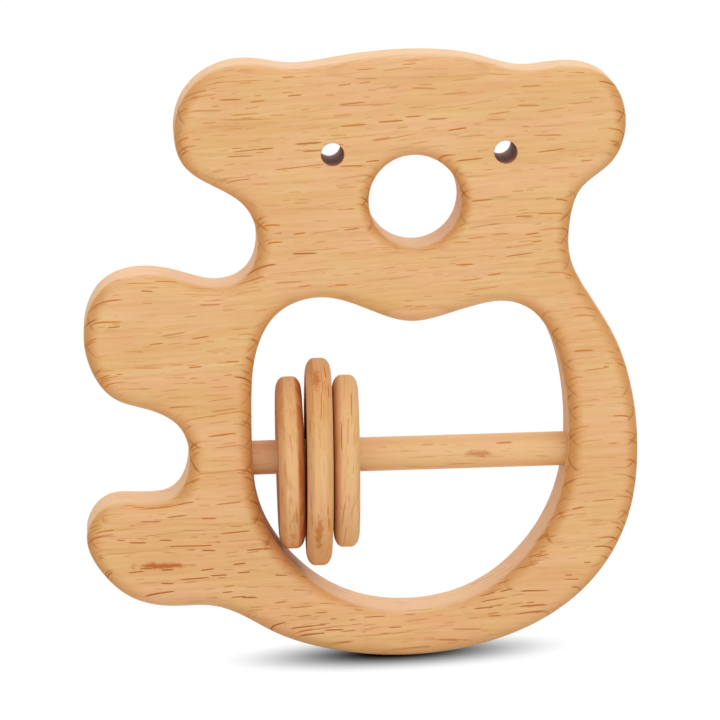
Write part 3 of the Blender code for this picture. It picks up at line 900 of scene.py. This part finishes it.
class RATTLE_OT_plate(Operator):
    """Make the koala plate with its belly opening, nose, eyes and dowel hole"""

    bl_idname = "rattle.plate"
    bl_label = "Koala plate"

    def execute(self, context):
        sizes = context.scene.rattle_plate
        dowel = context.scene.rattle_dowel
        half = (PLATE_HIGH.y - PLATE_LOW.y) / 2
        nose_z = PLATE_HIGH.z - sizes.nose_below_crown
        look = context.scene.rattle_wood
        loops = [
            (*spaced_loop(OUTLINE, True), sizes.edge_round, ROUND_STEPS),
            (*spaced_loop(BELLY, False), sizes.edge_round, ROUND_STEPS),
            (*circle_loop(sizes.nose_x, nose_z, sizes.nose_diameter, HOLE_SIDES), sizes.nose_round,
             ROUND_STEPS),
        ]
        first_eye = len(loops)
        for side in (-1, 1):
            eye_x = sizes.nose_x + sizes.eyes_past_nose + side * sizes.eye_spacing / 2
            loops.append((*circle_loop(eye_x, nose_z + sizes.eyes_above_nose, sizes.eye_diameter, EYE_SIDES),
                          sizes.eye_round, ROUND_STEPS // 3))
        vertices = []
        faces = []
        bores = []
        caps = ([], [])
        first = 0
        for number, (points, into_wood, edge_round, steps) in enumerate(loops):
            grid = swept_edge(points, into_wood, *edge_profile(edge_round, half, steps))
            rows, columns = grid.shape[:2]
            if number >= first_eye:
                rounded = (steps + 1) * columns
                bores.append(slice(len(faces) + rounded, len(faces) + (rows - 1) * columns - rounded))
            faces += band_faces(rows, columns, first)
            vertices.append(grid.reshape(-1, 3))
            for cap, row in zip(caps, (0, rows - 1)):
                cap.append((grid[row][:, (0, 2)], first + row * columns + np.arange(columns)))
            first += rows * columns
        for cap in caps:
            numbers = np.concatenate([index for _, index in cap])
            flat = [[Vector((x, z, 0.0)) for x, z in loop.tolist()] for loop, _ in cap]
            faces += numbers[np.array(tessellate_polygon(flat))].tolist()
        x, z = FOOT_MARK.place
        wood = beech("beech_plate", look, **PLATE_GRAIN, **PLATE_FINISH,
                     marks=[FOOT_MARK._replace(place=(x, PLATE_LOW.y, z))])
        plate = solid("plate_finished", np.concatenate(vertices), faces, wood)
        plate.data.materials.append(drilled_wood("drilled_eyes", look))
        finish = np.zeros(len(plate.data.polygons), np.int32)
        for bore in bores:
            finish[bore] = 1
        plate.data.polygons.foreach_set("material_index", finish)
        left = OUTLINE[:, 0].min() - dowel.diameter
        drill = solid("drill", *dowel_drill(dowel.diameter + 2 * dowel.glue_line, left, DOWEL_HIGH.x), wood)
        cut(plate, drill)
        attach(plate, "frame")
        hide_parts("koala_plate")
        return {"FINISHED"}


class RATTLE_OT_dowel(Operator):
    """Make the dowel, sanded flush with the notch at its left end"""

    bl_idname = "rattle.dowel"
    bl_label = "Dowel"

    def execute(self, context):
        sizes = context.scene.rattle_dowel
        radius = sizes.diameter / 2
        angle = around(DOWEL_SIDES)
        near_x = DOWEL_LOW.x + sizes.diameter
        notch_z = axis_point(near_x).z
        wall = OUTLINE[(np.abs(OUTLINE[:, 1] - notch_z) < sizes.diameter) & (OUTLINE[:, 0] < near_x)]
        wall = wall[np.argsort(wall[:, 1])]
        slope = math.atan2(DOWEL_AXIS.z, DOWEL_AXIS.x)

        def flush(radii):
            """Rings of points on the notch's wall: each keeps its distance and angle round the axis."""
            rise = radii[:, None] * np.sin(angle)[None, :] / math.cos(slope)
            x = np.interp(notch_z + rise, wall[:, 1], wall[:, 0])
            y = np.broadcast_to(radii[:, None] * np.cos(angle)[None, :], x.shape)
            return np.stack((x, y, axis_point(0.0).z + x * math.tan(slope) + rise), axis=-1)

        left_face = flush(np.linspace(radius / END_ROWS, radius, END_ROWS))
        x = np.linspace(near_x, DOWEL_HIGH.x - sizes.glue_line, DOWEL_ROWS)
        body = round_the_axis(x[:, None], radius, angle[None, :])
        right_face = round_the_axis(x[-1:, None], np.array([[radius / 2]]), angle[None, :])
        rows = np.concatenate((left_face, body, right_face))
        count = len(rows)
        left_tip = flush(np.zeros(1))[0, :1]
        right_tip = round_the_axis(x[-1:], 0.0, 0.0)
        tip = count * DOWEL_SIDES
        faces = band_faces(count, DOWEL_SIDES)
        faces += fan_faces(DOWEL_SIDES, 0, tip) + fan_faces(DOWEL_SIDES, tip - DOWEL_SIDES, tip + 1)
        vertices = np.concatenate((rows.reshape(-1, 3), left_tip, right_tip))
        mark_place = (DOWEL_MARK.place, -radius, axis_point(DOWEL_MARK.place).z)
        wood = beech("beech_dowel", context.scene.rattle_wood, **DOWEL_GRAIN, **DOWEL_FINISH,
                     marks=[DOWEL_MARK._replace(place=mark_place)])
        dowel = solid("dowel_finished", vertices, faces, wood)
        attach(dowel, "frame")
        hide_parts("dowel")
        return {"FINISHED"}


def ring_profile(sizes, diameter):
    """A ring's section as (place along the bore, radius): a flat rim and flat sides with round corners.

    The outer corners are quarter ellipses, the bore's are quarter circles.
    """
    half = sizes.thickness / 2
    rim = np.linspace(math.pi / 2, 0.0, ROUND_STEPS + 1)
    lip = np.linspace(0.0, -math.pi / 2, ROUND_STEPS // 2 + 1)
    rim_x = half - sizes.rim_along * (1.0 - np.cos(rim))
    rim_r = diameter / 2 - sizes.rim_out * (1.0 - np.sin(rim))
    lip_x = half - sizes.bore_round * (1.0 - np.cos(lip))
    lip_r = sizes.bore / 2 + sizes.bore_round * (1.0 + np.sin(lip))
    flat_x = np.array((half, half))
    flat_r = np.array((rim_r[-1] - FLAT_EDGE, lip_r[0] + FLAT_EDGE))
    x = np.concatenate(([rim_x[0] - FLAT_EDGE], rim_x, flat_x, lip_x, [lip_x[-1] - FLAT_EDGE]))
    r = np.concatenate(([rim_r[0]], rim_r, flat_r, lip_r, [lip_r[-1]]))
    return np.concatenate((x, -x[::-1])), np.concatenate((r, r[::-1]))


def turned_ring(x, radius, tilt, centre):
    """A section turned about the bore, tilted, and moved to its centre.

    Each point of the section keeps its x, and goes round it at its radius times the cosine and the sine
    of each angle.
    """
    angle = around(RING_SIDES)[:, None]
    grid = np.stack(np.broadcast_arrays(x[None, :], radius[None, :] * np.cos(angle),
                                        radius[None, :] * np.sin(angle)), axis=-1)
    return grid.reshape(-1, 3) @ np.array(tilt).T + np.array(centre)


class RATTLE_OT_rings(Operator):
    """Make the three loose rings, each where its frame piece hangs"""

    bl_idname = "rattle.rings"
    bl_label = "Rings"

    def execute(self, context):
        sizes = context.scene.rattle_rings
        look = context.scene.rattle_wood
        for ring in RINGS:
            low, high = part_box(ring.name)
            centre = (low + high) / 2
            diameter = getattr(sizes, ring.size)
            x, radius = ring_profile(sizes, diameter)
            tilt = (Matrix.Rotation(math.radians(-ring.swing), 3, "Z")
                    @ Matrix.Rotation(math.radians(-ring.lean), 3, "Y"))
            vertices = turned_ring(x, radius, tilt, centre)
            wood = dict(look=look, centre=tuple(centre), turn=ring.turn, seed=ring.seed, **RING_FINISH)
            if ring.size == "large":
                wood["marks"] = [self.rim_mark(mark, centre, diameter / 2) for mark in RIM_MARKS]
            # The rims' corners and the flat sides take painted shade and bounce light in orange
            rim = beech("beech_" + ring.name, paler=ring.paler, sheen=RIM_SHEEN, corners=ring.corners, **wood)
            side = beech("beech_" + ring.name + "_sides", sheen=SIDE_SHEEN, corners=SIDE_CORNER_SHADE, **wood)
            faces = band_faces(RING_SIDES, len(x), closed_rows=True)
            piece = solid(ring.name + "_finished", vertices, faces, rim)
            piece.data.materials.append(side)
            at_side = np.isclose(np.abs(x), sizes.thickness / 2)
            flat = at_side & np.roll(at_side, -1) & (x * np.roll(x, -1) > 0.0)
            piece.data.polygons.foreach_set("material_index", np.tile(flat, RING_SIDES).astype(np.int32))
            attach(piece, ring.name)
            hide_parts(ring.name)
        return {"FINISHED"}

    def rim_mark(self, mark, centre, radius):
        """The mark with its place on the front of the rim, from its angle above the horizon."""
        rise = math.radians(mark.place)
        return mark._replace(place=(centre.x - RIM_MARK_ASIDE, -radius * math.cos(rise),
                                    centre.z + radius * math.sin(rise)))


def background_ray(tree):
    """One for rays from the camera, and for reflected and refracted ones, and none for the rest."""
    path = tree.nodes.new("ShaderNodeLightPath")
    seen = tree.math("MAXIMUM", path.outputs["Is Camera Ray"], path.outputs["Is Glossy Ray"])
    return tree.math("MAXIMUM", seen, path.outputs["Is Transmission Ray"])


class RATTLE_OT_stage(Operator):
    """Set the plain floor, the soft light and the camera"""

    bl_idname = "rattle.stage"
    bl_label = "Stage"

    def execute(self, context):
        settings = context.scene.rattle_stage
        scene = context.scene
        scene.view_settings.view_transform = "Standard"
        self.make_floor(settings)
        self.make_world(scene, settings)
        self.make_lamps(scene, settings)
        self.make_camera(scene, settings)
        return {"FINISHED"}

    def make_floor(self, settings):
        """A square of pale floor. What the camera sees of it is a painted shadow by the rattle's foot, dark
        with the faint cast shadow in it, and rises to plain white away from it, by an ellipse round the place
        where it stands, so that only the shadow there shows."""
        corners = np.array(((-1, -1, 0), (1, -1, 0), (1, 1, 0), (-1, 1, 0))) * FLOOR_HALF_SIDE
        mesh = bpy.data.meshes.new("floor")
        mesh.from_pydata(corners.tolist(), [], [(0, 1, 2, 3)])
        material, tree, shader = new_finish("floor_paper")
        seen = background_ray(tree)
        coordinates = tree.nodes.new("ShaderNodeTexCoord")
        centre = (settings.shadow_x, settings.shadow_y, 0.0)
        place = tree.vector("SUBTRACT", coordinates.outputs["Object"], centre)
        cosine = math.cos(settings.shadow_slant)
        sine = math.sin(settings.shadow_slant)
        half_width = settings.shadow_width / 2
        half_depth = settings.shadow_depth / 2
        along = tree.vector("DOT_PRODUCT", place, (cosine / half_width, sine / half_width, 0.0))
        forward = tree.vector("DOT_PRODUCT", place, (-sine / half_depth, cosine / half_depth, 0.0))
        # Painted shadow: the floor's white fades to none inside the ellipse's core
        white = tree.ease(tree.vector("LENGTH", tree.join(along, forward, 0.0)), SHADOW_CORE, 1.0)
        tree.put(shader.inputs["Base Color"],
                 tree.blend(seen, rgba(settings.floor_colour), rgba(settings.painted_shadow_colour)))
        shader.inputs["Roughness"].default_value = FLOOR_ROUGHNESS
        shader.inputs["Specular IOR Level"].default_value = 0.0
        shader.inputs["Emission Color"].default_value = rgba(WHITE)
        tree.put(shader.inputs["Emission Strength"], tree.product(seen, white))
        mesh.materials.append(material)
        floor = bpy.data.objects.new("floor", mesh)
        bpy.context.scene.collection.objects.link(floor)
        floor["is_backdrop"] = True

    def make_world(self, scene, settings):
        """Even light from all round, which the camera and reflections see as plain white."""
        world = bpy.data.worlds.new("studio")
        scene.world = world
        world.use_nodes = True
        tree = Tree(world.node_tree)
        background = tree.nodes["Background"]
        background.inputs["Color"].default_value = rgba(WHITE)
        tree.put(background.inputs["Strength"],
                 tree.ease(background_ray(tree), 0.0, 1.0, settings.sky, 1.0))

    def make_lamps(self, scene, settings):
        """Broad suns. The top one lights everything. The others light only the rattle, and only the rattle
        shades them, so that its underside gets the light that a bright floor would send back."""
        rattle = bpy.data.collections.new("rattle_pieces")
        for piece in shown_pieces():
            rattle.objects.link(piece)
        for sun in SUNS:
            name = sun.name + "_light"
            lamp = bpy.data.lights.new(name, "SUN")
            lamp.energy = getattr(settings, sun.name)
            lamp.angle = math.radians(sun.spread)
            source = bpy.data.objects.new(name, lamp)
            azimuth = math.radians(sun.azimuth)
            elevation = math.radians(sun.elevation)
            back = Vector((math.sin(azimuth) * math.cos(elevation),
                           -math.cos(azimuth) * math.cos(elevation), math.sin(elevation)))
            source.rotation_mode = "QUATERNION"
            source.rotation_quaternion = back.to_track_quat("Z", "Y")
            source.location = back
            scene.collection.objects.link(source)
            if not sun.everything:
                source.light_linking.receiver_collection = rattle
                source.light_linking.blocker_collection = rattle

    def make_camera(self, scene, settings):
        """A long lens that looks at the aim height over the origin, from the settings' angles."""
        lens = bpy.data.cameras.new("camera")
        lens.sensor_width = SENSOR_WIDTH
        lens.lens = settings.lens
        lens.clip_start = NEAREST_SEEN
        lens.clip_end = FURTHEST_SEEN
        camera = bpy.data.objects.new("camera", lens)
        scene.collection.objects.link(camera)
        forward = Vector((math.sin(settings.yaw) * math.cos(settings.elevation),
                          math.cos(settings.yaw) * math.cos(settings.elevation),
                          -math.sin(settings.elevation)))
        right = forward.cross(Vector(UP)).normalized()
        up = right.cross(forward)
        cosine = math.cos(settings.roll)
        sine = math.sin(settings.roll)
        turned_right = right * cosine - up * sine
        turned_up = right * sine + up * cosine
        place = Vector((0.0, 0.0, settings.aim)) - forward * settings.distance
        turned = Matrix((turned_right, turned_up, -forward)).transposed()
        camera.matrix_world = Matrix.Translation(place) @ turned.to_4x4()
        scene.camera = camera


class RATTLE_PT_panel(Panel):
    """Lists the settings and the steps that make the rattle"""

    bl_label = "Wooden Baby Rattle"
    bl_idname = "RATTLE_PT_panel"
    bl_space_type = "VIEW_3D"
    bl_region_type = "UI"
    bl_category = "Rattle"

    def draw(self, context):
        layout = self.layout
        for settings, operator in SECTIONS:
            box = layout.box()
            for name in settings:
                group = getattr(context.scene, name)
                for prop in group.bl_rna.properties:
                    if not prop.is_readonly and prop.identifier != "name":
                        box.prop(group, prop.identifier)
            box.operator(operator)


SECTIONS = (
    (("rattle_wood", "rattle_plate"), "rattle.plate"),
    (("rattle_dowel",), "rattle.dowel"),
    (("rattle_rings",), "rattle.rings"),
    (("rattle_stage",), "rattle.stage"),
)
SETTINGS = {
    "rattle_wood": WoodLook,
    "rattle_plate": PlateSettings,
    "rattle_dowel": DowelSettings,
    "rattle_rings": RingSettings,
    "rattle_stage": StageSettings,
}
CLASSES = (*SETTINGS.values(), RATTLE_OT_plate, RATTLE_OT_dowel, RATTLE_OT_rings, RATTLE_OT_stage,
           RATTLE_PT_panel)


def register():
    for item in CLASSES:
        bpy.utils.register_class(item)
    for name, group in SETTINGS.items():
        setattr(bpy.types.Scene, name, PointerProperty(type=group))


def unregister():
    for name in SETTINGS:
        delattr(bpy.types.Scene, name)
    for item in reversed(CLASSES):
        bpy.utils.unregister_class(item)


def main():
    register()
    bpy.ops.rattle.plate()
    bpy.ops.rattle.dowel()
    bpy.ops.rattle.rings()
    bpy.ops.rattle.stage()


if __name__ == "__main__":
    main()
